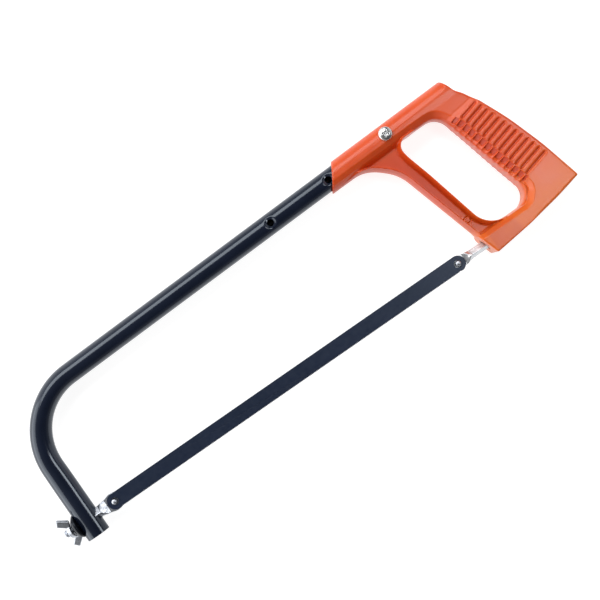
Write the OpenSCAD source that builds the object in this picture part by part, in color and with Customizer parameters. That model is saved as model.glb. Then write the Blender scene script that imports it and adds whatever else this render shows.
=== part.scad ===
// Hacksaw: bent tube frame, moulded D-shaped handle, wing nut tensioner, 300 mm blade.
// Lies on its side: +X runs along the blade towards the handle, +Y from the blade to the
// tube, +Z up through the thickness of the saw.  Millimetres.
// The origin is under the middle of the whole saw, on the surface it lies on.

/* [Blade] */
// distance between the blade's two pin holes
blade_pitch = 300; // [200:50:300]
// height of the blade, teeth to back
blade_width = 12; // [10:0.5:14]
// thickness of the blade
blade_thick = 0.65; // [0.5:0.05:0.9]
// diameter of the blade's pin holes
blade_hole_d = 5.4; // [4.6:0.1:6]
// spacing of the teeth
tooth_pitch = 1.4; // [1:0.1:2]

/* [Tube frame] */
// outside diameter of the round tube
tube_d = 15.6; // [14:0.1:18]
// wall of the tube
tube_wall = 1.2; // [0.8:0.1:1.6]
// centre-line radius of the bend
bend_r = 49.5; // [40:0.5:60]
// slope of the top tube, rising towards the handle
tube_slope = 1.93; // [0:0.01:4]
// distance from the front blade pin out to the middle of the front leg
leg_offset = 23.7; // [20:0.1:30]
// width of the flattened leg, in the plane of the saw
leg_width = 17.6; // [16:0.1:19]
// thickness of the flattened leg
leg_thick = 13.4; // [12:0.1:15]
// length of the leg below the blade line
leg_below = 13.2; // [11:0.1:16]
// spacing of the cross holes along the top tube
hole_step = 51.5; // [50:0.5:52]
// diameter of the cross holes
cross_hole_d = 5.2; // [4.5:0.1:6]

/* [Handle] */
// outside diameter of the sleeve round the tube
sleeve_d = 19.6; // [18.6:0.1:21]
// thickness of the grip
grip_thick = 25; // [22:0.5:28]
// thickness of the sleeve's flat sides
cheek_thick = 21; // [20:0.5:23]
// thickness of the front post
post_thick = 18.6; // [16:0.2:20]
// thickness of the web in the front post
web_thick = 5; // [3:0.5:7]
// number of cross grooves in each side of the grip
groove_count = 13; // [6:1:16]

/* [Fasteners] */
// diameter of the two blade pins
pin_d = 4; // [3:0.1:4.5]
// diameter of the tension bolt's thread
thread_d = 6; // [5:1:6]
// across the flats of the tension bolt's square shank
shank_side = 6.4; // [5:0.1:7]
// across the flats of the rear holder's square bar
rear_side = 4.9; // [4:0.1:6]
// turn of the two square bars about their own axis, from standing on edge
bar_twist = 10; // [0:1:20]
// diameter of the handle screw
screw_d = 5; // [4:0.5:5]
// diameter of the domed washer
dome_d = 18.4; // [16:0.2:20]

/* [Hidden] */
$fn = 64;

paint = [0.10, 0.12, 0.18];
zinc = [0.78, 0.79, 0.80];
orange = [0.84, 0.35, 0.22];

front_x = -blade_pitch;
leg_x = front_x - leg_offset;
swage_len = 12;
swage_steps = 4;
bend_x = leg_x + bend_r;
bend_y = 45.1;
slope_sin = sin(tube_slope);
slope_cos = cos(tube_slope);
// where the top straight leaves the bend
top_x = bend_x - bend_r * slope_sin;
top_y = bend_y + bend_r * slope_cos;
tube_end_x = 17;
top_len = (tube_end_x - top_x) / slope_cos;
// distance along the top tube from the bend to the handle screw, and its height over the tube's axis
screw_s = (8.9 - top_x) / slope_cos;
screw_v = 1.6;
bore_d = tube_d + 0.3;
collar_z = 4.4;

grip_h = grip_thick / 2;
cheek_h = cheek_thick / 2;
post_h = post_thick / 2;
web_h = web_thick / 2;

blade_z = 1.8;
paddle_h = 1.5;
pin_gap = (blade_hole_d - pin_d) / 2 - 0.15;
tail_x = 105.6;
toe_x = leg_x - leg_width / 2 - 12;
back_y = 115.7;
bottom_y = -leg_below;
origin = [(tail_x + toe_x) / 2, (back_y + bottom_y) / 2, -grip_h];

// ---- helpers -------------------------------------------------------------------------

function unit(v) = v / norm(v);
function turn(d) = d > 180 ? d - 360 : (d < -180 ? d + 360 : d);

// points of the arc of radius r that rounds corner b between neighbours a and c
function corner(a, b, c, r) =
    let (d1 = unit(a - b))
    let (d2 = unit(c - b))
    let (half = acos(d1 * d2) / 2)
    let (t = r / tan(half))
    let (m = b + unit(d1 + d2) * r / sin(half))
    let (p = b + d1 * t - m)
    let (q = b + d2 * t - m)
    let (s = atan2(p[1], p[0]))
    let (w = turn(atan2(q[1], q[0]) - s))
    let (n = max(2, ceil(abs(w) / 9)))
    [for (i = [0 : n]) m + r * [cos(s + w * i / n), sin(s + w * i / n)]];

function xy(p) = [p[0], p[1]];

// closed outline from corners given as [x, y, rounding radius]
function rounded(c) =
    let (n = len(c))
    [for (i = [0 : n - 1])
        for (p = c[i][2] == 0 ? [xy(c[i])]
                 : corner(xy(c[(i + n - 1) % n]), xy(c[i]), xy(c[(i + 1) % n]), c[i][2])) p];

module slab(outline, half) {
    translate([0, 0, -half])
        linear_extrude(2 * half)
            polygon(rounded(outline));
}

// puts its child at distance s along the top tube, x along the tube
module on_tube(s) {
    translate([top_x + s * slope_cos, top_y + s * slope_sin, 0])
        rotate([0, 0, tube_slope])
            children();
}

module on_screw() {
    on_tube(screw_s)
        translate([0, screw_v, 0])
            children();
}

module rod(d, x0, x1) {
    translate([x0, 0, 0])
        rotate([0, 90, 0])
            cylinder(d = d, h = x1 - x0);
}

// square bar along x, standing nearly on its edge
module edge_bar(side, x0, x1) {
    translate([x0, 0, 0])
        rotate([45 + bar_twist, 0, 0])
            translate([0, -side / 2, -side / 2])
                cube([x1 - x0, side, side]);
}

// ---- frame tube ----------------------------------------------------------------------

// the leg's section drawn in the x-z plane and run along y
module leg_bar(w, t, y0, y1) {
    translate([leg_x, y1, 0])
        rotate([90, 0, 0])
            linear_extrude(y1 - y0)
                union() {
                    square([w - t, t], center = true);
                    for (s = [-1, 1])
                        translate([s * (w - t) / 2, 0])
                            circle(d = t);
                }
}

// the tube's path as a solid, shrunk by cut all round
module tube_solid(cut, extra) {
    d = tube_d - 2 * cut;
    translate([bend_x, bend_y, 0])
        rotate([0, 0, tube_slope]) {
            translate([0, bend_r, 0])
                rod(d, 0, top_len + extra);
            rotate([0, 0, 90])
                rotate_extrude(angle = 90 - tube_slope)
                    translate([bend_r, 0])
                        circle(d = d);
        }
    // the round tube is pressed flatter over the first part of the leg
    for (i = [1 : swage_steps])
        let (f = i / (swage_steps + 1))
            leg_bar(tube_d + (leg_width - tube_d) * f - 2 * cut,
                    tube_d + (leg_thick - tube_d) * f - 2 * cut,
                    bend_y - swage_len * i / swage_steps,
                    bend_y - swage_len * (i - 1) / swage_steps + (i == 1 ? 0.3 : 0));
    leg_bar(leg_width - 2 * cut, leg_thick - 2 * cut, -leg_below - extra, bend_y - swage_len);
}

// screw hole in the upper wall of the tube, with a dished mouth
module cross_hole(s) {
    on_tube(s) {
        cylinder(d = cross_hole_d, h = tube_d);
        translate([0, 0, tube_d / 2 - 0.9])
            cylinder(d1 = cross_hole_d, d2 = cross_hole_d + 5, h = 1.5);
    }
}

// the wall turned down round a cross hole
module collar(s) {
    on_tube(s)
        translate([0, 0, collar_z])
            cylinder(d = cross_hole_d + 2.4, h = tube_d / 2 - 1.1 - collar_z);
}

module bent_tube() {
    difference() {
        tube_solid(0, 0);
        tube_solid(tube_wall, 1);
    }
}

module frame_tube() {
    color(paint)
        difference() {
            union() {
                bent_tube();
                for (k = [1, 2])
                    collar(screw_s - k * hole_step);
            }
            for (k = [1, 2])
                cross_hole(screw_s - k * hole_step);
            on_screw()
                cylinder(d = screw_d, h = tube_d);
            // square hole for the bolt's shank, round hole for its thread
            edge_bar(shank_side + 0.6, leg_x, leg_x + leg_width);
            rod(thread_d + 0.6, leg_x - leg_width, leg_x);
        }
}

// ---- handle --------------------------------------------------------------------------

// finger opening
opening = [[11.6, 96.2, 7.5], [13.1, 84, 45], [18.9, 63.8, 200], [32.4, 8.7, 19], [72, 8.7, 11.5],
           [48, 96.2, 13]];

// thick part of the handle: grip and foot
grip = [[27.2, -8.9, 1.2], [57.4, -5.3, 160], [85, -0.5, 160], [105.3, 4.2, 1.5], [97, 36.4, 150],
        [87.2, 65.5, 150], [73.8, 94, 2], [57.6, 91.2, 1], [58.6, 81.5, 30], [75.6, 16, 12],
        [66, 4.5, 12], [22.7, 4.5, 0]];

// flat cheek along the sleeve, running into the grip
cheek = [[-40.6, 99.7, 0], [-37.4, 104.9, 0], [56, 107.9, 0], [64.6, 108.3, 1], [66.2, 104.6, 3], [77, 88.2, 0],
         [62, 80, 0], [55.1, 86.2, 0], [47, 100.9, 17], [20, 101.2, 0]];

// body behind the cheek and round the finger opening
inner_band = [[24.5, -5, 0], [60, -2, 0], [96, 6, 0], [76, 84, 0], [64.4, 104.6, 0], [60, 108, 0],
              [10, 106, 0], [10, 95.5, 0], [30, 60, 0], [30, 6, 0], [24, 7.6, 0]];

// front post; its right side is trimmed by the finger opening
post = [[-32, 99, 0], [-32, 93.3, 0], [-16.3, 93.3, 28], [2, 76.8, 32], [21.4, 10.4, 0], [23, 3, 0], [60, 4, 0],
        [60, 12, 0], [40, 16, 0], [26, 60, 0], [20, 99, 0]];

// hollow in each side of the post
post_hollow = [[-16, 96, 1], [-6.4, 91, 18], [4.2, 72, 40], [13, 46, 0], [22.4, 11.5, 1], [36, 10.6, 1.5],
               [25.9, 21, 12], [16.6, 63, 150], [9.6, 87, 6], [11, 96, 1.5]];

module sleeve() {
    intersection() {
        on_tube(0)
            rod(sleeve_d, top_len - 75, top_len + 62);
        slab([[-45.6, 92, 0], [-32.7, 113.4, 0], [-32.7, 118, 0], [62.4, 118, 0], [67.2, 102, 0], [66, 92, 0]], 14);
    }
}

module handle_body() {
    sleeve();
    slab(grip, grip_h);
    slab(cheek, cheek_h);
    slab(inner_band, 8);
    difference() {
        slab(post, post_h);
        for (m = [0, 1])
            mirror([0, 0, m])
                translate([0, 0, web_h + 10])
                    slab(post_hollow, 10);
    }
}

module grip_grooves() {
    for (i = [0 : groove_count - 1], m = [0, 1])
        mirror([0, 0, m])
            translate([75.1 - 1.375 * i, 25.7 + 4.84 * i, grip_h - 0.7])
                rotate([0, 0, 14.5])
                    translate([-1.8, -0.6, 0])
                        cube([22.4 - 0.425 * i, 1.2, 2]);
}

module finger_ripples() {
    for (i = [0 : 11])
        translate([69.3 - 1.34 * i, 26.3 + 4.84 * i, 0])
            cylinder(r = 3.2, h = grip_thick, center = true);
}

module handle() {
    color(orange)
        difference() {
            handle_body();
            slab(opening, 20);
            // scallops that leave a rippled inner edge for the fingers
            intersection() {
                translate([-1.5, 0, 0])
                    finger_ripples();
                slab([[40, 20, 0], [68.9, 23.7, 0], [52.8, 82.4, 0], [40, 90, 0]], 20);
            }
            grip_grooves();
            // blind bore for the tube
            on_tube(0)
                rod(bore_d, top_len - 80, top_len + 0.5);
            on_screw()
                cylinder(d = screw_d + 0.4, h = 20);
            rear_bar(0.02);
            edge_bar(rear_side + 2.5, 15, 29);
        }
}

module handle_screw() {
    color(zinc)
        on_screw()
            difference() {
                union() {
                    translate([0, 0, 3.4])
                        cylinder(d = screw_d, h = cheek_h - 2.9);
                    translate([0, 0, cheek_h + 0.02])
                        cylinder(d = 10, h = 1.4);
                    translate([0, 0, cheek_h + 1.42])
                        intersection() {
                            translate([0, 0, -6.1])
                                sphere(r = 7.9);
                            cylinder(d = 10, h = 3);
                        }
                }
                translate([0, 0, cheek_h + 1.6])
                    for (a = [0, 90])
                        rotate([0, 0, a + 30])
                            translate([-2.6, -0.6, 0])
                                cube([5.2, 1.2, 4]);
            }
}

// ---- blade and its holders -----------------------------------------------------------

module blade() {
    n = floor((blade_pitch - 14) / tooth_pitch);
    w = blade_width / 2;
    color(paint)
        translate([0, 0, blade_z])
            difference() {
                union() {
                    translate([front_x, -w + 0.6, 0])
                        cube([blade_pitch, blade_width - 0.6, blade_thick]);
                    for (x = [front_x, 0])
                        translate([x, 0, 0])
                            cylinder(r = w, h = blade_thick);
                    // saw teeth, raked towards the front of the saw
                    linear_extrude(blade_thick)
                        polygon(concat(
                            [[-6, -w + 0.7], [front_x + 6, -w + 0.7]],
                            [for (i = [0 : 2 * n - 1])
                                let (k = floor(i / 2))
                                [front_x + 7 + (k + (i % 2) * 0.8) * tooth_pitch,
                                 -w + (i % 2) * 0.65]]));
                }
                for (x = [front_x, 0])
                    translate([x, 0, -1])
                        cylinder(d = blade_hole_d, h = 3);
            }
}

// rear holder's bar where it is buried in the handle, grown by gap all round
module rear_bar(gap) {
    edge_bar(rear_side + 2 * gap, 11, 46 + gap);
    edge_bar(rear_side + 3 + 2 * gap, 42 - gap, 46 + gap);
}

module rear_holder() {
    color(zinc)
        difference() {
            union() {
                rear_bar(0);
                hull() {
                    edge_bar(rear_side, 11, 12);
                    translate([6, -4.4, -paddle_h])
                        cube([0.5, 8.8, 2 * paddle_h]);
                }
                translate([pin_gap, -4.4, -paddle_h])
                    cube([6.5 - pin_gap, 8.8, 2 * paddle_h]);
                translate([pin_gap, 0, -paddle_h])
                    cylinder(d = 8.8, h = 2 * paddle_h);
            }
            translate([pin_gap, 0, -5])
                cylinder(d = pin_d - 0.4, h = 10);
        }
}

module blade_pin(x) {
    color(zinc)
        translate([x, 0, 0]) {
            translate([0, 0, -paddle_h - 0.6])
                cylinder(d = pin_d - 0.4, h = 2 * paddle_h + 1);
            translate([0, 0, paddle_h])
                cylinder(d = pin_d, h = 2.2);
            translate([0, 0, paddle_h + 2.2])
                intersection() {
                    translate([0, 0, -1.8])
                        sphere(r = 2.69);
                    cylinder(d = pin_d, h = 2);
                }
        }
}

module rear_pin() {
    blade_pin(pin_gap);
}

module front_pin() {
    blade_pin(front_x - pin_gap);
}

module tension_bolt() {
    x = front_x - pin_gap;
    tip = leg_x - leg_width / 2 - 11.2;
    color(zinc)
        difference() {
            union() {
                translate([tip + 0.8, 0, 0])
                    rotate([0, -90, 0])
                        cylinder(d1 = thread_d, d2 = thread_d - 1.6, h = 0.8);
                rod(thread_d, tip + 0.8, leg_x + 1);
                edge_bar(shank_side, leg_x + 1, x - 12);
                hull() {
                    edge_bar(shank_side, x - 13, x - 12);
                    translate([x - 7, -5.3, -paddle_h])
                        cube([0.5, 10.6, 2 * paddle_h]);
                }
                slab([[x - 7, -5.3, 0], [x - 1, -6.6, 0], [x, -6.6, 0], [x, 6.6, 0], [x - 1, 6.6, 0],
                      [x - 7, 5.3, 0]], paddle_h);
                translate([x, 0, -paddle_h])
                    cylinder(d = 13.2, h = 2 * paddle_h);
            }
            translate([x, 0, -5])
                cylinder(d = pin_d - 0.4, h = 10);
        }
}

// ---- tension adjuster ----------------------------------------------------------------

module domed_washer() {
    face = leg_x - leg_width / 2;
    color(paint)
        difference() {
            union() {
                rod(dome_d, face - 0.2, face + 1.2);
                intersection() {
                    translate([face + 7.5, 0, 0])
                        sphere(r = 12, $fn = 96);
                    rod(dome_d, face - 6, face + 1.2);
                }
            }
            leg_bar(leg_width + 0.06, leg_thick + 0.06, -20, 20);
            rod(thread_d + 0.6, face - 10, face + 10);
        }
}

module wing_nut() {
    base = leg_x - leg_width / 2 - 4.85;
    color(zinc)
        rotate([28, 0, 0])
            difference() {
                union() {
                    translate([base, 0, 0])
                        rotate([0, -90, 0])
                            cylinder(d1 = 11.2, d2 = 9.3, h = 3.2);
                    for (s = [0, 1])
                        mirror([0, s, 0])
                            slab([[base + 0.6, 3.6, 0], [base + 2.2, 8.4, 0.8], [base - 4.4, 14.3, 0.8],
                                  [base - 7.2, 9.9, 0.8], [base - 1.6, 4.4, 0]], 1.5);
                }
                rod(thread_d + 0.12, base - 10, base + 10);
                rod(12, base, base + 6);
            }
}

translate(-origin) {
    frame_tube();
    handle();
    handle_screw();
    blade();
    rear_holder();
    rear_pin();
    tension_bolt();
    front_pin();
    domed_washer();
    wing_nut();
}
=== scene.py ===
import bpy
import bmesh
import math
import numpy as np
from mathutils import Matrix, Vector


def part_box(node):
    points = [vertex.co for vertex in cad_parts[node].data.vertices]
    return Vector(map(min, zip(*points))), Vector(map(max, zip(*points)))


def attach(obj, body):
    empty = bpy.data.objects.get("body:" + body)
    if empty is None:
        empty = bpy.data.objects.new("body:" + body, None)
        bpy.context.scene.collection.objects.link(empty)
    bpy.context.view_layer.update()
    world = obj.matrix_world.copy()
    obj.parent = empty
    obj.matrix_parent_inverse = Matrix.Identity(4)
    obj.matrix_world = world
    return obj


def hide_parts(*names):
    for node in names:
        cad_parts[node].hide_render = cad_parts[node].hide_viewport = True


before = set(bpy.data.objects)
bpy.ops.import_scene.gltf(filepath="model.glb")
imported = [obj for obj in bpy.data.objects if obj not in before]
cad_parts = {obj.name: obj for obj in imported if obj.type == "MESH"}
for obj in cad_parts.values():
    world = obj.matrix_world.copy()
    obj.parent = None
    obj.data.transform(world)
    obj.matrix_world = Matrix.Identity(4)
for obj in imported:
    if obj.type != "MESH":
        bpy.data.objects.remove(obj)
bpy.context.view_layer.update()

# ---------------------------------------------------------------------------
# Datum: the axis of the rear blade hole, on the saw's middle plane.
# All shapes below are in millimetres from it: x to the handle, y to the tube,
# z up through the thickness.
# ---------------------------------------------------------------------------
b_lo, b_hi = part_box("blade")
DATUM = np.array([b_hi.x - 0.006, (b_lo.y + b_hi.y) / 2, b_lo.z - 0.0018])
MM = 0.001

# blade: distance between its holes, half its width, its lower face and thickness
PITCH = 300.0
BLADE_HALF, BLADE_Z, BLADE_THICK = 6.0, 1.8, 0.65
HOLE_R = 2.7
# the pins stand this far outside the middles of the blade's holes
PIN_SHIFT = 0.55

# tube: slope, radius and wall of the round part, and where it ends in the handle
SLOPE = math.radians(1.93)
TUBE_R, TUBE_WALL = 7.8, 1.2
TUBE_END = 17.0
# front leg: middle, half its width and thickness where it is flattened, lower end
LEG_X = -PITCH - 23.7
LEG_A, LEG_B = 8.8, 6.7
LEG_END = -13.2
BEND_R = 49.5
BEND_X, BEND_Y = LEG_X + BEND_R, 45.1
TOP_X = BEND_X - BEND_R * math.sin(SLOPE)
TOP_Y = BEND_Y + BEND_R * math.cos(SLOPE)
TOP_LEN = (TUBE_END - TOP_X) / math.cos(SLOPE)
BEND_LEN = BEND_R * (math.pi / 2 - SLOPE)
HOLE_STEP = 51.5

# handle screw: how far along the top tube from the bend, and how far off its axis
SCREW_S = (8.9 - TOP_X) / math.cos(SLOPE)
SCREW_V = 1.6

# half thicknesses of the handle's grip, sleeve sides, post rims and post web
GRIP_H, CHEEK_H, POST_H, WEB_H = 12.5, 10.5, 9.3, 2.5

# turn of the square bars about their own axis, past standing on edge
TWIST = math.radians(10)
HALF_ROOT = 0.7071


def top_point(s, v=0.0):
    """A point s along the top tube from the bend and v above its axis."""
    return (
        TOP_X + s * math.cos(SLOPE) - v * math.sin(SLOPE),
        TOP_Y + s * math.sin(SLOPE) + v * math.cos(SLOPE),
    )


# ---------------------------------------------------------------------------
# Meshes
# ---------------------------------------------------------------------------
def link(name, data):
    o = bpy.data.objects.new(name, data)
    bpy.context.scene.collection.objects.link(o)
    return o


def mesh_object(name, verts, faces, body, material, node, smooth=True):
    """Points in millimetres from the datum become one piece that rides on a body."""
    verts = np.asarray(verts, dtype=np.float64) * MM + DATUM
    me = bpy.data.meshes.new(name)
    if isinstance(faces, np.ndarray):
        n, k = faces.shape
        me.vertices.add(len(verts))
        me.vertices.foreach_set("co", verts.ravel())
        me.loops.add(n * k)
        me.loops.foreach_set("vertex_index", faces.astype(np.int32).ravel())
        me.polygons.add(n)
        me.polygons.foreach_set("loop_start", np.arange(0, n * k, k, dtype=np.int32))
        me.update(calc_edges=True)
    else:
        me.from_pydata([tuple(v) for v in verts], [], faces)
    me.validate()
    me.polygons.foreach_set("use_smooth", [smooth] * len(me.polygons))
    me.materials.append(material)
    o = link(name, me)
    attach(o, body)
    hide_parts(node)
    return o


def axes(lo, hi, step):
    return [np.arange(a, b + step, step, dtype=np.float64) for a, b in zip(lo, hi)]


def surface(f, ax):
    """The zero surface of a field sampled on a grid, as smooth quads (surface nets)."""
    solid = f < 0
    nx, ny, nz = f.shape
    count = np.zeros((nx - 1, ny - 1, nz - 1), np.uint8)
    corners = [(a, b, c) for a in (0, 1) for b in (0, 1) for c in (0, 1)]
    for a, b, c in corners:
        count += solid[a : nx - 1 + a, b : ny - 1 + b, c : nz - 1 + c]
    active = (count > 0) & (count < 8)
    cell = np.stack(np.nonzero(active), 1)
    index = np.full(active.shape, -1, np.int32)
    index[active] = np.arange(len(cell), dtype=np.int32)

    # one point per cell: the mean of where the surface crosses the cell's edges
    total = np.zeros((len(cell), 3))
    weight = np.zeros(len(cell))
    for i, p in enumerate(corners):
        for q in corners[i + 1 :]:
            if sum(abs(u - v) for u, v in zip(p, q)) != 1:
                continue
            fa = f[cell[:, 0] + p[0], cell[:, 1] + p[1], cell[:, 2] + p[2]]
            fb = f[cell[:, 0] + q[0], cell[:, 1] + q[1], cell[:, 2] + q[2]]
            hit = (fa < 0) != (fb < 0)
            t = (fa[hit] / (fa[hit] - fb[hit]))[:, None]
            total[hit] += np.array(p) + t * (np.array(q) - np.array(p))
            weight[hit] += 1
    step = np.array([a[1] - a[0] for a in ax])
    start = np.array([a[0] for a in ax])
    verts = (total / weight[:, None] + cell) * step + start

    # one quad round each grid edge that the surface crosses
    quads = []
    for axis in range(3):
        u, v = (axis + 1) % 3, (axis + 2) % 3
        near = [slice(1, -1)] * 3
        far = [slice(1, -1)] * 3
        near[axis], far[axis] = slice(None, -1), slice(1, None)
        cross = solid[tuple(near)] != solid[tuple(far)]
        p = np.stack(np.nonzero(cross), 1)
        p[:, u] += 1
        p[:, v] += 1
        ring = []
        for du, dv in ((-1, -1), (0, -1), (0, 0), (-1, 0)):
            r = p.copy()
            r[:, u] += du
            r[:, v] += dv
            ring.append(index[r[:, 0], r[:, 1], r[:, 2]])
        q = np.stack(ring, 1)
        inside = solid[p[:, 0], p[:, 1], p[:, 2]]
        q[~inside] = q[~inside][:, ::-1]
        quads.append(q)
    return verts, np.concatenate(quads)


# ---------------------------------------------------------------------------
# Cutting tools for the tube and the blade
# ---------------------------------------------------------------------------
def circle(r, n, turn=0.0):
    angles = [turn + 2 * math.pi * i / n for i in range(n)]
    return [(r * math.cos(a), r * math.sin(a)) for a in angles]


def prism_cut(ring0, ring1):
    """A closed prism between two rings, as a tool for apply_cuts."""
    n = len(ring0)
    faces = [(i, (i + 1) % n, n + (i + 1) % n, n + i) for i in range(n)]
    faces += [tuple(range(n))[::-1], tuple(range(n, 2 * n))]
    me = bpy.data.meshes.new("cut")
    me.from_pydata([tuple(np.array(v) * MM + DATUM) for v in ring0 + ring1], [], faces)
    bm = bmesh.new()
    bm.from_mesh(me)
    bmesh.ops.recalc_face_normals(bm, faces=bm.faces)
    bm.to_mesh(me)
    bm.free()
    return link("cut", me)


def cylinder_cut(px, py, r, z0, z1, n=48):
    ring = [(px + a, py + b) for a, b in circle(r, n)]
    return prism_cut([(a, b, z0) for a, b in ring], [(a, b, z1) for a, b in ring])


def bar_cut(x0, x1, r, n, turn=0.0):
    ring = circle(r, n, turn)
    return prism_cut([(x0, a, b) for a, b in ring], [(x1, a, b) for a, b in ring])


def apply_cuts(o, cutters):
    for c in cutters:
        m = o.modifiers.new("cut", "BOOLEAN")
        m.operation = "DIFFERENCE"
        m.solver = "EXACT"
        m.object = c
    deps = bpy.context.evaluated_depsgraph_get()
    me = bpy.data.meshes.new_from_object(o.evaluated_get(deps))
    o.modifiers.clear()
    old = o.data
    o.data = me
    me.name = o.name
    bpy.data.meshes.remove(old)
    for c in cutters:
        data = c.data
        bpy.data.objects.remove(c)
        bpy.data.meshes.remove(data)


def soften_edges(o, degrees):
    """Smooth faces, with sharp edges where the surface turns more than this."""
    o.data.polygons.foreach_set("use_smooth", [True] * len(o.data.polygons))
    bm = bmesh.new()
    bm.from_mesh(o.data)
    for e in bm.edges:
        if len(e.link_faces) == 2 and e.calc_face_angle(0) > math.radians(degrees):
            e.smooth = False
    bm.to_mesh(o.data)
    bm.free()


# ---------------------------------------------------------------------------
# Distance fields: negative inside a solid, positive outside
# ---------------------------------------------------------------------------
def smax(a, b, k):
    h = np.clip(0.5 + 0.5 * (a - b) / k, 0, 1)
    return b + (a - b) * h + k * h * (1 - h)


def smin(a, b, k):
    return -smax(-a, -b, k)


def meet(a, b, r):
    """Intersection with its edge rounded to radius r."""
    u, v = a + r, b + r
    return np.sqrt(np.maximum(u, 0) ** 2 + np.maximum(v, 0) ** 2) + np.minimum(np.maximum(u, v), 0) - r


def step01(t):
    """Smooth step from 0 to 1 as t goes from 0 to 1."""
    t = np.clip(t, 0, 1)
    return t * t * (3 - 2 * t)


def bell(t, power=2):
    """1 at t = 0, falling away on both sides."""
    return np.exp(-(t**power))


def unit(v):
    return v / max(np.linalg.norm(v), 1e-9)


def rounded(corners):
    """Outline from corners given as (x, y, rounding radius)."""
    pts = []
    n = len(corners)
    for i, (x, y, r) in enumerate(corners):
        b = np.array([x, y], float)
        if r <= 0:
            pts.append(b)
            continue
        a = np.array(corners[i - 1][:2], float)
        c = np.array(corners[(i + 1) % n][:2], float)
        d1, d2 = unit(a - b), unit(c - b)
        half = math.acos(float(np.clip(d1 @ d2, -1, 1))) / 2
        t = r / math.tan(half)
        m = b + unit(d1 + d2) * r / math.sin(half)
        p, q = b + d1 * t - m, b + d2 * t - m
        s = math.atan2(p[1], p[0])
        w = (math.atan2(q[1], q[0]) - s + math.pi) % (2 * math.pi) - math.pi
        k = max(2, int(abs(w) / math.radians(5)))
        for j in range(k + 1):
            pts.append(m + r * np.array([math.cos(s + w * j / k), math.sin(s + w * j / k)]))
    return np.array(pts)


def outline(x, y, corners):
    """Signed distance to a closed outline with rounded corners."""
    pts = rounded(corners)
    d = np.full(x.shape, 1e9)
    inside = np.zeros(x.shape, bool)
    for i in range(len(pts)):
        (x0, y0), (x1, y1) = pts[i - 1], pts[i]
        ex, ey = x1 - x0, y1 - y0
        if ex * ex + ey * ey < 1e-12:
            continue
        t = np.clip(((x - x0) * ex + (y - y0) * ey) / (ex * ex + ey * ey), 0, 1)
        d = np.minimum(d, (x - x0 - t * ex) ** 2 + (y - y0 - t * ey) ** 2)
        if y0 != y1:
            inside ^= ((y0 > y) != (y1 > y)) & (x < ex * (y - y0) / ey + x0)
    return np.sqrt(d) * np.where(inside, -1.0, 1.0)


def edge_bar(y, z, side):
    """Endless square bar along x that stands on its edge."""
    u = y * math.cos(TWIST) + z * math.sin(TWIST)
    v = -y * math.sin(TWIST) + z * math.cos(TWIST)
    return (np.abs(u) + np.abs(v)) * HALF_ROOT - side / 2


def thread_wave(along, u, v, pitch=1.0):
    """0 at the root and 1 at the crest of a right-hand thread along one axis."""
    turn = np.arctan2(v, u) / (2 * math.pi)
    return np.abs(((along / pitch - turn) % 1.0) - 0.5) * 2


def column(plan):
    """A field that is the same at every height."""
    return plan[:, :, None]


# ---------------------------------------------------------------------------
# Materials
# ---------------------------------------------------------------------------
def new_material(name):
    m = bpy.data.materials.new(name)
    m.use_nodes = True
    return m, m.node_tree, m.node_tree.nodes["Principled BSDF"]


def noise(nt, scale, detail, rough):
    co = nt.nodes.new("ShaderNodeTexCoord")
    n = nt.nodes.new("ShaderNodeTexNoise")
    n.inputs["Scale"].default_value = scale
    n.inputs["Detail"].default_value = detail
    n.inputs["Roughness"].default_value = rough
    nt.links.new(co.outputs["Object"], n.inputs["Vector"])
    return n.outputs["Fac"]


def ramp(nt, value, dark, light, a=0.3, b=0.7):
    """Colour that goes from dark to light as the value goes from a to b."""
    r = nt.nodes.new("ShaderNodeValToRGB")
    for e, pos, colour in zip(r.color_ramp.elements, (a, b), (dark, light)):
        e.position = pos
        e.color = (*colour, 1)
    nt.links.new(value, r.inputs["Fac"])
    return r.outputs["Color"]


def ranged(nt, value, lo, hi, a=0.3, b=0.7):
    """Number that goes from lo to hi as the value goes from a to b."""
    r = nt.nodes.new("ShaderNodeMapRange")
    r.inputs["From Min"].default_value = a
    r.inputs["From Max"].default_value = b
    r.inputs["To Min"].default_value = lo
    r.inputs["To Max"].default_value = hi
    nt.links.new(value, r.inputs["Value"])
    return r.outputs["Result"]


def colour_mix(nt, factor, first):
    """Mix node from a colour output towards its still open B socket."""
    mix = nt.nodes.new("ShaderNodeMix")
    mix.data_type = "RGBA"
    nt.links.new(factor, mix.inputs["Factor"])
    nt.links.new(first, mix.inputs["A"])
    return mix


def bump(nt, shader, height, strength, distance):
    b = nt.nodes.new("ShaderNodeBump")
    b.inputs["Strength"].default_value = strength
    b.inputs["Distance"].default_value = distance
    nt.links.new(height, b.inputs["Height"])
    nt.links.new(b.outputs["Normal"], shader.inputs["Normal"])


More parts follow.
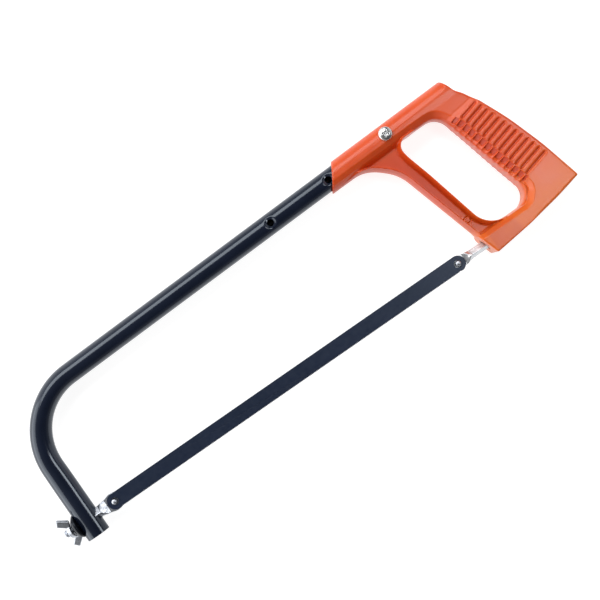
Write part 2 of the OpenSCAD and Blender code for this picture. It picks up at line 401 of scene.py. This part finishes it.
def plastic():
    """Orange plastic, paler towards the foot as a painted sheen, and darkened by painted shade in the
    relief's recesses.
    """
    m, nt, s = new_material("orange_moulded_plastic")
    cloud = noise(nt, 60, 5, 0.6)
    # painted sheen: the orange turns paler and tan towards the foot, standing in for the glossy veil of light
    # that lies on it
    plain_orange = ramp(nt, cloud, (0.61, 0.062, 0.006), (0.67, 0.080, 0.010), 0.25, 0.75)
    painted_sheen = ramp(nt, cloud, (0.64, 0.105, 0.008), (0.69, 0.140, 0.014), 0.25, 0.75)
    co = nt.nodes.new("ShaderNodeTexCoord")
    sep = nt.nodes.new("ShaderNodeSeparateXYZ")
    nt.links.new(co.outputs["Object"], sep.inputs[0])
    mix = colour_mix(nt, ranged(nt, sep.outputs["Y"], 1, 0, -0.048, -0.006), plain_orange)
    nt.links.new(painted_sheen, mix.inputs["B"])
    # painted shade: the recess attribute darkens the orange towards a deep red in the grooves, pockets, web
    # and along the post's front edge
    deep = nt.nodes.new("ShaderNodeAttribute")
    deep.attribute_name = "recess"
    dark = colour_mix(nt, deep.outputs["Fac"], mix.outputs["Result"])
    dark.inputs["B"].default_value = (0.42, 0.022, 0.003, 1)
    nt.links.new(dark.outputs["Result"], s.inputs["Base Color"])
    nt.links.new(ranged(nt, cloud, 0.30, 0.40), s.inputs["Roughness"])
    s.inputs["IOR"].default_value = 1.46
    s.inputs["Coat Weight"].default_value = 0.2
    s.inputs["Coat Roughness"].default_value = 0.16
    s.inputs["Subsurface Weight"].default_value = 0.12
    s.inputs["Subsurface Radius"].default_value = (0.004, 0.0012, 0.0006)
    s.inputs["Subsurface Scale"].default_value = 0.5
    bump(nt, s, noise(nt, 2600, 3, 0.6), 0.12, 0.00008)
    return m


def paint(name, dark, light, rough, coat=0.0, specular=0.5):
    m, nt, s = new_material(name)
    nt.links.new(ramp(nt, noise(nt, 45, 4, 0.55), dark, light), s.inputs["Base Color"])
    nt.links.new(ranged(nt, noise(nt, 420, 4, 0.6), rough * 0.8, rough * 1.25), s.inputs["Roughness"])
    s.inputs["Specular IOR Level"].default_value = specular
    s.inputs["Specular Tint"].default_value = (0.78, 0.89, 1.0, 1)
    s.inputs["Coat Weight"].default_value = coat
    s.inputs["Coat Roughness"].default_value = 0.17
    s.inputs["Coat Tint"].default_value = (0.9, 0.95, 1.0, 1)
    bump(nt, s, noise(nt, 380, 3, 0.5), 0.06, 0.0001)
    return m


def zinc(name, rough, dark, light):
    m, nt, s = new_material(name)
    nt.links.new(ramp(nt, noise(nt, 260, 5, 0.6), dark, light), s.inputs["Base Color"])
    s.inputs["Metallic"].default_value = 1.0
    nt.links.new(ranged(nt, noise(nt, 900, 4, 0.6), rough * 0.75, rough * 1.4), s.inputs["Roughness"])
    bump(nt, s, noise(nt, 700, 3, 0.5), 0.08, 0.0001)
    return m


PLASTIC = plastic()
FRAME_PAINT = paint("navy_frame_enamel", (0.005, 0.008, 0.018), (0.008, 0.012, 0.026), 0.14, coat=0.35)
BLADE_PAINT = paint("navy_blade_enamel", (0.009, 0.015, 0.034), (0.013, 0.020, 0.043), 0.36)
WASHER_BLACK = paint("black_gloss_enamel", (0.003, 0.004, 0.007), (0.007, 0.008, 0.012), 0.26, specular=0.22)
ZINC = zinc("zinc_plate", 0.24, (0.60, 0.61, 0.62), (0.78, 0.79, 0.80))
ROLLED = zinc("rolled_zinc_plate", 0.36, (0.56, 0.58, 0.61), (0.76, 0.78, 0.80))
FORGED = zinc("forged_zinc_plate", 0.34, (0.38, 0.41, 0.46), (0.64, 0.67, 0.72))


# ---------------------------------------------------------------------------
# Handle: outlines seen from above, each corner with its rounding radius
# ---------------------------------------------------------------------------
# finger opening
OPENING = [
    (11.6, 96.2, 7.5), (13.1, 84, 45), (18.9, 63.8, 200), (32.4, 8.7, 19), (72, 8.7, 11.5), (48, 96.2, 13),
]
# whole handle, without the sleeve
BODY = [
    (27.2, -8.9, 1.0), (57.4, -5.3, 160), (85, -0.5, 160), (105.3, 4.2, 1.2), (97, 36.4, 150),
    (87.2, 65.5, 150), (76.9, 88.6, 60), (71.2, 98.6, 12), (66.1, 104.9, 2.5), (63.6, 110.5, 0),
    (60, 108, 0), (-44, 101, 0), (-44, 93.3, 0), (-16.3, 93.3, 28), (2, 76.8, 32), (21.4, 10.4, 1.5),
    (22.7, 4.5, 3),
]
# full-thickness part: grip, foot and the strip along the sleeve
PLATE = [
    (-60, 99.2, 0), (20, 101.2, 0), (48, 101.6, 15), (55.6, 87.4, 25), (58.4, 81.5, 30), (75.9, 16, 11.5),
    (66.5, 4.5, 12), (10, 4.5, 0), (10, -30, 0), (130, -30, 0), (130, 60, 0), (70, 112, 0), (56, 108.2, 4),
    (-60, 104.2, 0),
]
# front edge of the post and its sweep up to the sleeve, closed far behind the handle
SILHOUETTE = [
    (-60, 93.3, 0), (-16.3, 93.3, 28), (2, 76.8, 32), (24, 2, 0), (24, -40, 0), (160, -40, 0), (160, 140, 0),
    (-60, 140, 0),
]
# cross grooves on the grip: how many, their spacing, direction and the corner they are counted from
GROOVES = 13
GROOVE_PITCH = 5.03
GROOVE_ANGLE = math.radians(14.5)
GROOVE_X, GROOVE_Y = 75.1, 25.7
# small round moulding in the web of the post
RING_X, RING_Y, RING_R = 23.7, 21.8, 2.4
LIP_R = 3.0
BORE_GAP = 0.15
SCREW_HOLE_R = 2.7
SOCKET_SIDE, SOCKET_END = 10.4 * HALF_ROOT, 29.0


def groove_grid(x, y):
    """Where a point is among the grooves: along, off the nearest one, its number, and in their row or not."""
    c, s = math.cos(GROOVE_ANGLE), math.sin(GROOVE_ANGLE)
    along = c * (x - GROOVE_X) + s * (y - GROOVE_Y)
    across = -s * (x - GROOVE_X) + c * (y - GROOVE_Y)
    number = np.clip(np.round(across / GROOVE_PITCH), 0, GROOVES - 1)
    in_row = (across > -GROOVE_PITCH * 0.5) & (across < GROOVE_PITCH * (GROOVES - 0.3))
    return along, across - number * GROOVE_PITCH, number, in_row


def grip_relief(along, off, number):
    """Grooves, and the low round backs between them."""
    length = 21.4 - 0.45 * number
    groove = bell(off / (0.55 + 0.02 * number)) * step01((along + 1.2) / 1.0) * step01((length - along) / 1.0)
    crown = (1 + np.cos(2 * math.pi * off / GROOVE_PITCH)) * (np.abs(off) < GROOVE_PITCH / 2)
    return groove, crown * step01((along + 0.5) / 2) * step01((length - along) / 2)


def post_height(x, y, edge, inward):
    """Rim on each side of the front post, with the sunk web between them."""
    rim = 3.2 + 6.1 * step01((x + 42) / 34)
    rim = np.minimum(rim, 3.0 + 3.2 * inward + 7 * step01((14 - y) / 16)) - 7 * np.maximum(inward - 2.2, 0)
    wall = POST_H - 2.9 * np.maximum(edge - 0.5, 0)
    web = WEB_H - 0.9 * bell((np.hypot(x - RING_X, y - RING_Y) - RING_R) / 0.42)
    return smax(smax(rim, wall, 0.8), web, 0.8)


def lip_height(x, y, edge, plate):
    """Rounded lip round the rest of the finger opening, with a valley behind it near the foot."""
    lip_top = 7.2 + 2.3 * step01((x - 54) / 12)
    inset = np.maximum(LIP_R - np.maximum(edge, 0), 0)
    lip = lip_top - 1.5 * (LIP_R - np.sqrt(np.maximum(LIP_R**2 - inset**2, 0)))
    return lip - 1.3 * (bell((plate - 3.7) / 0.8) * step01((62 - y) / 25))


def handle_field(ax):
    x, y = np.meshgrid(ax[0], ax[1], indexing="ij")
    z = ax[2][None, None, :]
    c, s = math.cos(SLOPE), math.sin(SLOPE)
    along_tube = (x - TOP_X) * c + (y - TOP_Y) * s
    above_tube = column(-(x - TOP_X) * s + (y - TOP_Y) * c)
    edge = outline(x, y, OPENING)
    plate = outline(x, y, PLATE)
    inward = -outline(x, y, SILHOUETTE)
    along, off, number, in_row = groove_grid(x, y)
    groove, crown = grip_relief(along, off, number)
    on_grip = step01((x - 50) / 6)

    # height of the upper surface over the middle plane: flat parts and their slopes
    below_crease = ((91.2 - y) * 14.8 + (x - 57.8) * 2.0) / 14.93
    top = CHEEK_H - 0.1 + (GRIP_H - CHEEK_H + 0.1) * step01(below_crease / 7.0)
    top = top - 0.95 * groove * on_grip - 0.32 * crown * on_grip
    slope = top - 1.02 * np.clip(plate, 0, 3.3) - 4.5 * np.maximum(plate - 3.3, 0)

    # post in front of the opening, lip behind it
    behind = step01(((x - 46) + (y - 8) * 0.236) / 5.0)
    post = post_height(x, y, edge, inward)
    lip = lip_height(x, y, edge, plate)
    height = smax(slope, post * (1 - behind) + lip * behind, 0.5)

    # pockets between the ridges at the grip's inner edge
    ridge = bell(off / 0.62, 4)
    pocket = (1 - ridge) * in_row * step01((plate + 1.2) / 0.5) * step01((3.6 - plate) / 0.7) * (y < 88)
    pocket_floor = top - 1.3 * np.clip(plate + 1.1, 0, 3.5)
    height = height - pocket * np.maximum(height - pocket_floor, 0)

    # the same height on both sides, inside the handle's outline
    gx, gy = np.gradient(height, ax[0], ax[1])
    flat = 1.0 / np.sqrt(1 + np.minimum(gx**2 + gy**2, 12))
    level = (np.abs(z) - column(height)) * column(flat)
    soft = column(0.9 + 0.9 * step01((x - 60) / 10))
    f = meet(level, column(outline(x, y, BODY)), soft)

    # ribs that run over the inner edge of the grip, under the fingers
    rib = bell(off / 0.95) * in_row * step01((-along + 1.0) / 1.6) * step01((9.5 - edge) / 2) * behind
    f = f - column(0.55 * rib) * step01((10.5 - np.abs(z)) / 2.0)

    # sleeve round the tube, cut slantwise at its mouth and at the back
    sleeve = (np.sqrt((above_tube / 9.8) ** 2 + (z / 10.7) ** 2) - 1) * 9.9
    mouth = ((-45.0 - x) * 20.0 + (y - 92.9) * 12.0) / math.hypot(20.0, 12.0)
    back = ((x - 63.0) * 10.7 + (y - 115.4) * 3.3) / math.hypot(10.7, 3.3)
    f = smin(f, meet(sleeve, column(np.maximum(mouth, back)), 0.7), 1.2)
    f = np.maximum(f, column(mouth))

    # finger opening, bore for the tube, screw hole and socket for the holder
    f = meet(f, column(0.35 * rib - edge), 0.5)
    bore = np.sqrt(above_tube**2 + z**2) - (TUBE_R + BORE_GAP)
    f = np.maximum(f, -np.maximum(bore, column(along_tube - TOP_LEN)))
    sx, sy = top_point(SCREW_S, SCREW_V)
    hole = np.hypot(x - sx, y - sy) - SCREW_HOLE_R
    f = np.maximum(f, -np.maximum(column(hole), -z))
    socket = edge_bar(column(y), z, SOCKET_SIDE)
    f = np.maximum(f, -np.maximum(socket, column(x - SOCKET_END)))

    # painted shade: darker where the relief is deep, and along the post's front edge, where shade falls
    hollow = step01((inward - 3.5) / 2) * step01((edge - 1.6) / 2) * (1 - behind) * step01((92 - y) / 4)
    flank = step01((2.6 - inward) / 0.8) * (1 - behind) * step01((y - 8) / 8) * step01((98 - y) / 6)
    recess = 0.7 * pocket * step01((2.9 - plate) / 0.8) + 0.6 * groove * on_grip + 0.3 * hollow + 0.4 * flank
    return f, np.clip(recess, 0, 1)


def build_handle():
    fine = 0.42
    ax = axes((-47.5, -11.5, -13.9), (108.0, 118.0, 13.9), fine)
    field, recess = handle_field(ax)
    verts, quads = surface(field, ax)
    o = mesh_object("handle_moulding", verts, quads, "saw_frame", PLASTIC, "handle")
    i, j = (
        np.clip(np.round((verts[:, k] - ax[k][0]) / fine).astype(int), 0, len(ax[k]) - 1) for k in (0, 1)
    )
    # painted shade from the field's recess mask, kept off faces within 2 mm of the middle plane, stored for
    # the plastic to darken
    painted_shade = recess[i, j] * step01((np.abs(verts[:, 2]) - 2.0) / 0.4)
    o.data.attributes.new("recess", "FLOAT", "POINT").data.foreach_set("value", painted_shade)


build_handle()


# ---------------------------------------------------------------------------
# Tube frame
# ---------------------------------------------------------------------------
# distances of the two free cross holes along the tube from its handle end
CROSS_HOLES = [TOP_LEN - (SCREW_S - k * HOLE_STEP) for k in (1, 2)]
CROSS_HOLE_R, TAPPED_HOLE_R = 2.55, 2.5
# each free hole sits in a dish pressed into the upper wall
DISH_R, DISH_DEPTH = 6.5, 1.25


def path_frame(d):
    """Point and direction at distance d along the tube from its handle end."""
    if d <= TOP_LEN:
        px, py = top_point(TOP_LEN - d)
        return px, py, math.pi + SLOPE
    if d <= TOP_LEN + BEND_LEN:
        a = math.pi / 2 + SLOPE + (d - TOP_LEN) / BEND_R
        return BEND_X + BEND_R * math.cos(a), BEND_Y + BEND_R * math.sin(a), a + math.pi / 2
    return LEG_X, BEND_Y - (d - TOP_LEN - BEND_LEN), 1.5 * math.pi


def tube_stations():
    """Distances of the rings along the tube, closer together at the dishes and in the bend."""
    total = TOP_LEN + BEND_LEN + BEND_Y - LEG_END
    d = 0.0
    out = []
    while d < total - 0.3:
        out.append(d)
        if min(abs(d - h) for h in CROSS_HOLES) < 8:
            d += 0.4
        elif TOP_LEN < d:
            d += 1.0
        else:
            d += 3.0
    out.append(total)
    return out


def tube_ring(d, inset, around):
    """One ring of points: round on the top tube, growing into the leg's oval in the bend."""
    px, py, a = path_frame(d)
    grow = float(step01((d - TOP_LEN - 0.35 * BEND_LEN) / (0.65 * BEND_LEN + 18)))
    half_a = TUBE_R + (LEG_A - TUBE_R) * grow - inset
    half_b = TUBE_R + (LEG_B - TUBE_R) * grow - inset
    nx, ny = -math.sin(a), math.cos(a)
    ring = []
    for u, v in circle(1.0, around):
        off = half_a * u
        h = half_b * v
        for hole in CROSS_HOLES:
            q = math.hypot(d - hole, off)
            if q < DISH_R and v > 0:
                h -= DISH_DEPTH * (1 - float(step01((q - 2.0) / 3.0)))
        ring.append((px + off * nx, py + off * ny, h))
    return ring


def build_tube():
    around = 120
    stations = tube_stations()
    verts, faces = [], []
    for inset in (0, TUBE_WALL):
        for d in stations:
            verts += tube_ring(d, inset, around)
    n = len(stations)
    inner = n * around
    for k in range(n - 1):
        for i in range(around):
            j = (i + 1) % around
            a, b = k * around, (k + 1) * around
            faces.append((a + i, a + j, b + j, b + i))
            faces.append((inner + a + j, inner + a + i, inner + b + i, inner + b + j))
    for k in (0, n - 1):
        for i in range(around):
            j = (i + 1) % around
            a, b = k * around, (k + n) * around
            ring = (a + j, a + i, b + i, b + j)
            faces.append(ring if k == 0 else ring[::-1])
    tube = mesh_object("frame_tube_bent", verts, faces, "saw_frame", FRAME_PAINT, "frame_tube")

    # cross holes, screw hole, then the square and the round hole that the bolt runs in
    cutters = [cylinder_cut(*top_point(TOP_LEN - hole), CROSS_HOLE_R, 0, 12) for hole in CROSS_HOLES]
    cutters.append(cylinder_cut(*top_point(SCREW_S, SCREW_V), TAPPED_HOLE_R, 0, 12))
    cutters.append(bar_cut(LEG_X, LEG_X + 14, 3.5 * math.sqrt(2), 4, TWIST))
    cutters.append(bar_cut(LEG_X - 14, LEG_X, 3.3, 40))
    apply_cuts(tube, cutters)
    soften_edges(tube, 32)


build_tube()


# ---------------------------------------------------------------------------
# Blade
# ---------------------------------------------------------------------------
TOOTH_PITCH, TOOTH_DEPTH = 1.06, 0.62
# sideways set of three teeth in turn; points between teeth have none
TOOTH_SET = {0: 0.0, 1: 0.16, 2: -0.16, None: 0.0}


def build_blade():
    """A strip with rounded ends and fine set teeth along its lower edge."""
    start, end = -PITCH + 1.5, -1.5
    ring = []
    for i in range(int((end - start) / TOOTH_PITCH)):
        x = start + i * TOOTH_PITCH
        ring.append((x, -BLADE_HALF, i % 3))
        ring.append((x + 0.78 * TOOTH_PITCH, -BLADE_HALF + TOOTH_DEPTH, None))
    angles = [-math.pi / 2 + math.pi * i / 24 for i in range(1, 25)]
    arc = [(BLADE_HALF * math.cos(a), BLADE_HALF * math.sin(a)) for a in angles]
    ring += [(x, y, None) for x, y in arc]
    ring += [(-PITCH - x, y, None) for x, y in reversed(arc)]
    m = len(ring)
    verts = [(x, y, z + TOOTH_SET[k]) for z in (BLADE_Z, BLADE_Z + BLADE_THICK) for x, y, k in ring]
    faces = [(i, (i + 1) % m, m + (i + 1) % m, m + i) for i in range(m)]
    faces += [tuple(range(m))[::-1], tuple(range(m, 2 * m))]
    o = mesh_object("saw_blade", verts, faces, "blade", BLADE_PAINT, "blade", smooth=False)
    apply_cuts(o, [cylinder_cut(x, 0, HOLE_R, -1, 8, 64) for x in (0, -PITCH)])
    bevel = o.modifiers.new("edge", "BEVEL")
    bevel.width = 0.00012
    bevel.segments = 2
    bevel.limit_method = "ANGLE"
    bevel.angle_limit = math.radians(50)


build_blade()


# ---------------------------------------------------------------------------
# Holder, bolt, pins, screw, washer and wing nut: each from its own field
# ---------------------------------------------------------------------------
# sides of the two square bars, half their diagonals, and half the thickness of their paddles
REAR_SIDE, BOLT_SIDE = 4.9, 6.4
REAR_CORNER, BOLT_CORNER = 3.46, 4.53
PADDLE_H = 1.5
# outer face of the leg, which the washer sits on, and the inner face of the wing nut
LEG_FACE = LEG_X - LEG_A
NUT_BASE = LEG_FACE - 4.85


def pin_gap(x, y, z):
    """Narrow ring sunk round the foot of a blade pin."""
    return np.maximum(np.abs(np.hypot(x, y) - 2.45) - 0.42, 0.1 - z)


def rear_holder_field(x, y, z):
    bar = edge_bar(y, z, REAR_SIDE)
    # pressed flat towards the blade, spreading as it thins
    t = np.clip((11.5 - x) / 5.5, 0, 1)
    flat_h = REAR_CORNER - (REAR_CORNER - PADDLE_H) * t
    wide = REAR_CORNER + (4.4 - REAR_CORNER) * t
    paddle = smax(np.maximum(np.abs(z) - flat_h, np.abs(y) - wide), smin(bar - 2.6 * t, bar, 0.1), 0.5)
    paddle = np.maximum(paddle, x - 12.0)
    paddle = np.maximum(paddle, np.where(x < PIN_SHIFT, np.hypot(x - PIN_SHIFT, y) - 4.4, -1.0))
    f = smin(np.maximum(bar, 9.5 - x), paddle, 0.5)
    f = np.maximum(f, x - 46.0)
    # square head that anchors the bar in the moulding
    head = np.maximum(edge_bar(y, z, 7.9), np.maximum(42 - x, x - 46))
    return np.maximum(np.minimum(f, head), -pin_gap(x - PIN_SHIFT, y, z))


def bolt_field(x, y, z):
    px = -PITCH - PIN_SHIFT
    # square shank that thins and widens into the paddle under the blade
    t = np.clip((x - (px - 12.5)) / 6.3, 0, 1)
    flat_h = BOLT_CORNER - (BOLT_CORNER - PADDLE_H) * t
    wide = BOLT_CORNER + (5.2 - BOLT_CORNER) * t + (6.6 - 5.2) * step01((x - (px - 7.5)) / 6.5)
    shank = edge_bar(y, z, BOLT_SIDE + 7.0 * t)
    f = smax(np.maximum(np.abs(z) - flat_h, np.abs(y) - wide), shank, 0.6)
    f = smax(f, np.where(x > px, np.hypot(x - px, y) - 6.6, -1.0), 0.4)
    f = np.maximum(f, (LEG_X + 1) - x)
    f = np.maximum(f, -pin_gap(x - px, y, z))
    # rolled thread, chamfered at its tip
    r = np.hypot(y, z)
    tip = LEG_FACE - 11.2
    thread = r - (2.45 + 0.55 * thread_wave(x, y, z))
    thread = np.maximum(thread, r - 3.0 + np.maximum(tip + 1.0 - x, 0))
    thread = np.maximum(thread, np.maximum(tip - x, x - LEG_X - 1.2))
    return smin(f, thread, 0.3)


def pin_field(px):
    """Domed pin on a stem, with its riveted end under the paddle."""

    def field(x, y, z):
        r = np.hypot(x - px, y)
        dome = np.sqrt(r**2 + (z - 1.35) ** 2) - 3.0
        post = np.maximum(meet(r - 2.0, dome, 0.4), 1.45 - z)
        stem = np.maximum(r - 1.8, np.maximum(-2.1 - z, z - 2.0))
        rivet = np.maximum(np.sqrt(r**2 + (z + 0.9) ** 2) - 2.3, np.maximum(z + 1.5, -2.6 - z))
        return np.minimum(np.minimum(post, stem), rivet)

    return field


def screw_field(x, y, z):
    sx, sy = top_point(SCREW_S, SCREW_V)
    u, v = x - sx, y - sy
    r = np.hypot(u, v)
    seat = CHEEK_H + 0.02
    head = meet(np.sqrt(r**2 + (z - (seat + 3.2 - 9.0)) ** 2) - 9.0, r - 5.0, 0.5)
    head = meet(head, seat - z, 0.25)
    # cross recess
    a = math.radians(-34.7)
    p = u * math.cos(a) + v * math.sin(a)
    q = -u * math.sin(a) + v * math.cos(a)
    rise = np.maximum(0, (z - seat - 0.5))
    wide, long = 0.5 + 0.05 * rise, 1.5 + 0.6 * rise
    arm1 = np.maximum(np.abs(p) - wide, np.abs(q) - long)
    arm2 = np.maximum(np.abs(q) - wide, np.abs(p) - long)
    cone = r - (0.6 + 0.35 * rise)
    recess = np.maximum(smin(smin(arm1, arm2, 0.15), cone, 0.2), seat + 0.6 - z)
    head = np.maximum(head, -recess)
    thread = r - (2.15 + 0.33 * thread_wave(z, u, v, 0.8))
    return np.minimum(head, np.maximum(thread, np.maximum(3.4 - z, z - seat - 0.1)))


def washer_field(x, y, z):
    r = np.hypot(y, z)
    dome = np.sqrt((x - (LEG_FACE + 7.5)) ** 2 + r**2) - 12.0
    rim = np.maximum(r - 9.2, np.maximum(LEG_FACE - 0.4 - x, x - LEG_FACE - 1.2))
    f = meet(smin(np.maximum(dome, x - LEG_FACE - 1.2), rim, 0.3), r - 9.2, 0.35)
    # hollowed to the leg's oval, and bored for the bolt
    leg = np.hypot(np.maximum(np.abs(x - LEG_X) - (LEG_A - LEG_B), 0), z) - (LEG_B + 0.05)
    f = np.maximum(f, -leg)
    return np.maximum(f, 3.3 - r)


def wing_outline(x, v):
    """One ear, as the overlap of half planes."""
    tip = [(2.2, 8.4), (-4.4, 14.2), (-7.2, 9.9), (-1.6, 4.4), (0.6, 3.6)]
    f = np.full(x.shape, -50.0)
    for i in range(len(tip)):
        (x0, y0), (x1, y1) = tip[i - 1], tip[i]
        n = math.hypot(x1 - x0, y1 - y0)
        f = smax(f, ((y0 - y1) * (x - x0) + (x1 - x0) * (v - y0)) / n * -1, 0.8)
    return f


def wing_field(x, y, z):
    a = math.radians(28)
    v = y * math.cos(a) + z * math.sin(a)
    w = -y * math.sin(a) + z * math.cos(a)
    r = np.hypot(y, z)
    hub = meet(r - (5.6 - 0.30 * (NUT_BASE - x)), np.abs(x - (NUT_BASE - 1.6)) - 1.6, 0.5)
    thick = np.abs(w) - (1.55 + 0.25 * step01((9 - np.abs(v)) / 5))
    ears = meet(wing_outline(x - NUT_BASE, np.abs(v)), thick, 0.7)
    f = smin(hub, ears, 1.0)
    f = np.maximum(f, -np.maximum(r - 5.0, NUT_BASE - x))
    return np.maximum(f, (2.75 + 0.45 * thread_wave(x, y, z)) - r)


def field_piece(name, field, lo, hi, step, body, material, node):
    ax = axes(lo, hi, step)
    x, y, z = np.meshgrid(*ax, indexing="ij")
    verts, quads = surface(field(x, y, z), ax)
    mesh_object(name, verts, quads, body, material, node)


screw_x, screw_y = top_point(SCREW_S, SCREW_V)
field_piece(
    "rear_holder_bar", rear_holder_field, (-4.6, -6.2, -6.2), (47, 6.2, 6.2), 0.24,
    "saw_frame", ROLLED, "rear_holder",
)
field_piece(
    "tension_bolt_forging", bolt_field, (-345.2, -7.4, -5.4), (-293.2, 7.4, 5.4), 0.22,
    "tension_bolt", FORGED, "tension_bolt",
)
field_piece(
    "rear_blade_pin", pin_field(PIN_SHIFT), (-2.6, -3.2, -3.2), (3.8, 3.2, 5.2), 0.14,
    "saw_frame", FORGED, "rear_pin",
)
field_piece(
    "front_blade_pin", pin_field(-PITCH - PIN_SHIFT), (-303.8, -3.2, -3.2), (-297.2, 3.2, 5.2), 0.14,
    "tension_bolt", FORGED, "front_pin",
)
field_piece(
    "pan_head_screw", screw_field,
    (screw_x - 5.8, screw_y - 5.8, 3.0), (screw_x + 5.8, screw_y + 5.8, 14.6), 0.15,
    "saw_frame", ZINC, "handle_screw",
)
field_piece(
    "washer_dome", washer_field, (-338, -10, -10), (-330.2, 10, 10), 0.2,
    "saw_frame", WASHER_BLACK, "domed_washer",
)
field_piece(
    "wing_nut_cast", wing_field, (-346, -15.4, -12), (-334.2, 15.4, 12), 0.2,
    "wing_nut", FORGED, "wing_nut",
)


# ---------------------------------------------------------------------------
# Stage, light and camera, in metres
# ---------------------------------------------------------------------------
def pale_floor():
    half, z = 18.0, -0.0004
    me = bpy.data.meshes.new("floor")
    corners = [(-half, -half, z), (half, -half, z), (half, half, z), (-half, half, z)]
    me.from_pydata(corners, [], [(0, 1, 2, 3)])
    m, _, s = new_material("pale_floor")
    s.inputs["Base Color"].default_value = (0.38, 0.38, 0.38, 1)
    s.inputs["Roughness"].default_value = 0.9
    s.inputs["Specular IOR Level"].default_value = 0.1
    s.inputs["Emission Color"].default_value = (1, 1, 1, 1)
    s.inputs["Emission Strength"].default_value = 0.84
    me.materials.append(m)
    link("floor", me)


def area_light(name, pos, target, size_x, size_y, power):
    light = bpy.data.lights.new(name, "AREA")
    light.shape = "RECTANGLE"
    light.size = size_x
    light.size_y = size_y
    light.energy = power
    o = link(name, light)
    o.location = pos
    o.rotation_mode = "QUATERNION"
    o.rotation_quaternion = (Vector(target) - Vector(pos)).to_track_quat("-Z", "Y")


def studio_world():
    """Dark all round but for a glow towards the front of the saw, strongest low down."""
    world = bpy.data.worlds.new("studio")
    bpy.context.scene.world = world
    world.use_nodes = True
    nt = world.node_tree
    co = nt.nodes.new("ShaderNodeTexCoord")
    sep = nt.nodes.new("ShaderNodeSeparateXYZ")
    nt.links.new(co.outputs["Generated"], sep.inputs[0])
    low = ranged(nt, sep.outputs["Z"], 0.16, 0.9, 0.58, 0.22)
    dot = nt.nodes.new("ShaderNodeVectorMath")
    dot.operation = "DOT_PRODUCT"
    dot.inputs[1].default_value = (-0.95, 0.31, 0)
    nt.links.new(co.outputs["Generated"], dot.inputs[0])
    side = ranged(nt, dot.outputs["Value"], 0.32, 1.4, -0.1, 0.8)
    mul = nt.nodes.new("ShaderNodeMath")
    mul.operation = "MULTIPLY"
    nt.links.new(low, mul.inputs[0])
    nt.links.new(side, mul.inputs[1])
    bg = nt.nodes["Background"]
    bg.inputs["Color"].default_value = (1, 1, 1, 1)
    nt.links.new(mul.outputs[0], bg.inputs["Strength"])


pale_floor()
area_light("window", (-0.1, 0.76, 0.88), (-0.1, 0.03, 0), 1.6, 0.6, 12.0)
area_light("overhead_right", (0.50, -0.06, 0.93), (0.15, 0, 0), 0.34, 0.3, 2.1)
area_light("left_wall", (-1.25, 0.25, 0.5), (0, 0.05, 0.2), 1.5, 1.0, 10.0)
area_light("right_wall", (1.35, 0.0, 0.5), (0, 0, 0.2), 1.5, 0.9, 2.6)
studio_world()

scene = bpy.context.scene
scene.view_settings.view_transform = "Standard"

# the camera looks straight down, turned so that the saw lies slantwise; its height over the
# datum and the width that it takes in at that distance are in millimetres
CAMERA_HEIGHT, FRAME_WIDTH = 650.0, 433.46
cam_data = bpy.data.cameras.new("camera")
cam = link("camera", cam_data)
cam_data.sensor_width = 36
cam_data.lens = 18 / (FRAME_WIDTH / 2 / CAMERA_HEIGHT)
cam_data.clip_start, cam_data.clip_end = 0.02, 60
cam.location = np.array([-108.12, 43.23, CAMERA_HEIGHT]) * MM + DATUM
cam.rotation_euler = (0, 0, math.radians(-34.705))
scene.camera = cam
